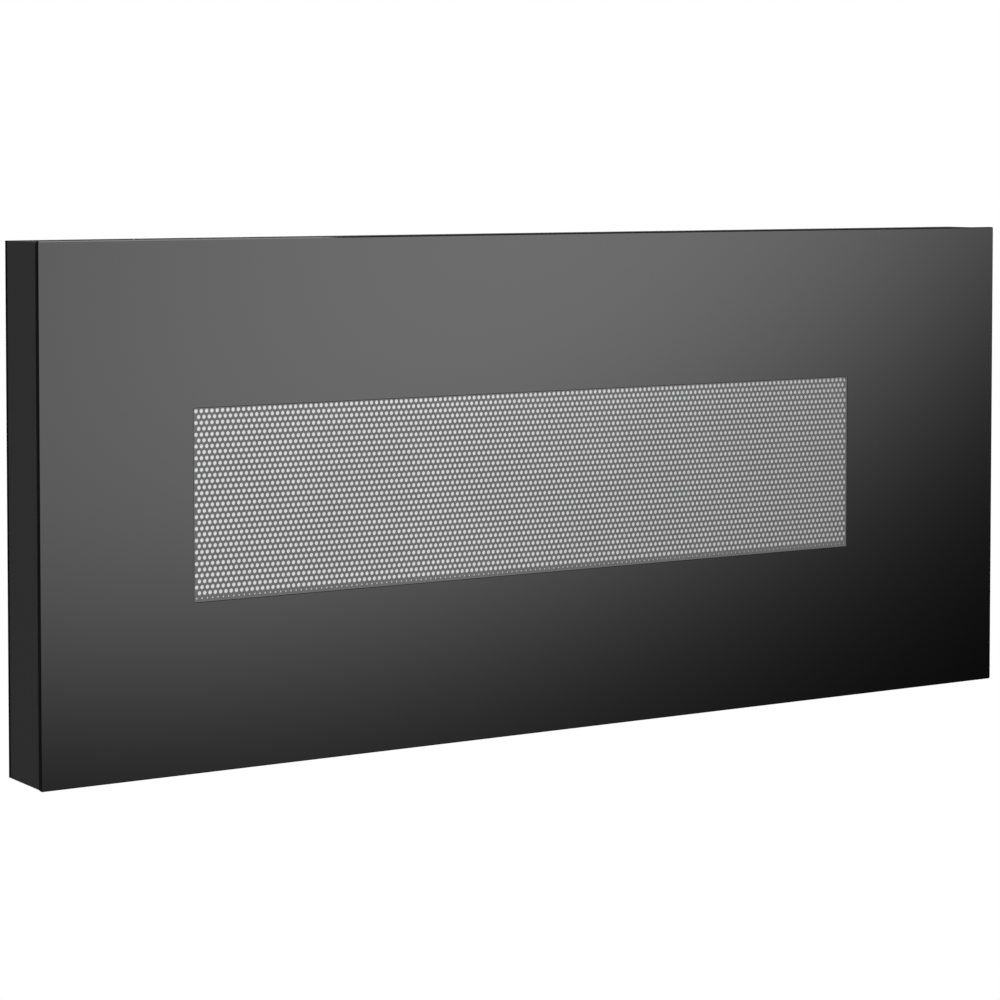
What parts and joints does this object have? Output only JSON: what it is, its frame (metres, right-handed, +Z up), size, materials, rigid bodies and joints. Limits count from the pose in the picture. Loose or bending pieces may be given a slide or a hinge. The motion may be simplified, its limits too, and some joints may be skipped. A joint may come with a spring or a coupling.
{
  "type": "wall-hung electric fireplace",
  "caption": "Slim wall-hung electric fireplace: black glass front with a perforated backlit window, sheet-steel cabinet, flicker-rod light and tangential fan heater.",
  "frame": {"origin": "middle of the wall bracket's four screw holes, on the wall plane", "axes": "+X to the right seen from the room, +Y into the wall, +Z up"},
  "size_m": [1.25, 0.084, 0.55],
  "materials": {
    "black_glass": "polished, painted black behind",
    "charcoal_paint": "fine-textured satin powder coat",
    "black_paint": "matt",
    "screen_paint": "satin, perforated",
    "zinc_steel": "zinc plated",
    "bright_steel": "ground",
    "foil": "bright",
    "flame_mask_paint": "matt white",
    "impeller_aluminium": "mill",
    "laminated_steel": "varnished laminations",
    "coil_wire": "varnished copper",
    "nickel_wire": "oxidised",
    "ceramic": "matt",
    "opal_acrylic": "opal, lit from behind",
    "white_board": "solder mask",
    "green_board": "solder mask",
    "relay_plastic": "moulded",
    "transformer_resin": "taped",
    "capacitor_sleeve": "shrunk sleeve",
    "black_plastic": "fine spark texture",
    "grey_button": "satin",
    "rocker_plastic": "gloss",
    "white_nylon": "moulded",
    "rubber": "matt",
    "brass_pins": "nickel plated",
    "lead_jacket": "satin"
  },
  "bodies": {
    "cabinet": {"left_side_panel": "charcoal_paint", "right_side_panel": "charcoal_paint", "top_panel": "charcoal_paint", "bottom_panel": "charcoal_paint", "rear_panel": "charcoal_paint", "rear_screws": "zinc_steel", "wall_bracket": "zinc_steel", "wall_bumpers": "rubber", "chamber_back": "zinc_steel", "chamber_plates": "zinc_steel", "chamber_ends": "zinc_steel", "chamber_spacers": "white_nylon", "light_diffuser": "opal_acrylic", "diffuser_clips": "zinc_steel", "flame_mask": "flame_mask_paint", "led_strips": "white_board", "rod_bushes": "white_nylon", "flicker_motor": "laminated_steel", "flicker_motor_bracket": "zinc_steel", "blower_duct": "zinc_steel", "duct_end_plates": "zinc_steel", "shaft_bushes": "white_nylon", "blower_motor_core": "laminated_steel", "blower_motor_coil": "coil_wire", "motor_bearing_bracket": "zinc_steel", "heating_element": "nickel_wire", "element_combs": "ceramic", "thermal_cutout": "zinc_steel", "outlet_grille": "charcoal_paint", "control_board": "green_board", "board_standoffs": "white_nylon", "board_relays": "relay_plastic", "board_transformer": "transformer_resin", "board_capacitors": "capacitor_sleeve", "remote_receiver": "black_plastic", "button_bezel": "black_plastic", "button_board": "green_board", "rocker_frame": "black_plastic", "mains_inlet": "black_plastic", "inlet_pins": "brass_pins", "wiring_harness": "lead_jacket", "cable_clips": "black_plastic"},
    "front_panel": {"front_glass": "black_glass", "glass_frame": "black_paint", "window_screen": "screen_paint", "screen_screws": "zinc_steel", "frame_hooks": "zinc_steel"},
    "flicker_assembly": {"flicker_rod": "bright_steel", "flicker_flags": "foil", "rod_coupling": "rubber", "flicker_motor_shaft": "bright_steel"},
    "blower_rotor": {"blower_impeller": "impeller_aluminium", "impeller_shaft": "bright_steel", "blower_motor_rotor": "bright_steel"},
    "rocker": {"rocker": "rocker_plastic"},
    "button_standby": {"button_standby": "grey_button"},
    "button_flame": {"button_flame": "grey_button"},
    "button_heat": {"button_heat": "grey_button"},
    "button_timer": {"button_timer": "grey_button"}
  },
  "joints": [
    {"name": "front_lift", "type": "slide", "parent": "cabinet", "child": "front_panel", "axis": [0, 0, 1], "range_m": [0, 0.012]},
    {"name": "flicker_spin", "type": "hinge", "parent": "cabinet", "child": "flicker_assembly", "pos_m": [0, -0.04, -0.219], "axis": [1, 0, 0], "continuous": true},
    {"name": "blower_spin", "type": "hinge", "parent": "cabinet", "child": "blower_rotor", "pos_m": [0, -0.045, -0.3318], "axis": [1, 0, 0], "continuous": true},
    {"name": "rocker_tilt", "type": "hinge", "parent": "cabinet", "child": "rocker", "pos_m": [0.6205, -0.045, 0.01], "axis": [0, 1, 0], "range_deg": [0, 16]},
    {"name": "press_standby", "type": "slide", "parent": "cabinet", "child": "button_standby", "axis": [-1, 0, 0], "range_m": [0, 0.0008], "stiffness_N_per_m": 1800},
    {"name": "press_flame", "type": "slide", "parent": "cabinet", "child": "button_flame", "axis": [-1, 0, 0], "range_m": [0, 0.0008], "stiffness_N_per_m": 1800},
    {"name": "press_heat", "type": "slide", "parent": "cabinet", "child": "button_heat", "axis": [-1, 0, 0], "range_m": [0, 0.0008], "stiffness_N_per_m": 1800},
    {"name": "press_timer", "type": "slide", "parent": "cabinet", "child": "button_timer", "axis": [-1, 0, 0], "range_m": [0, 0.0008], "stiffness_N_per_m": 1800}
  ]
}
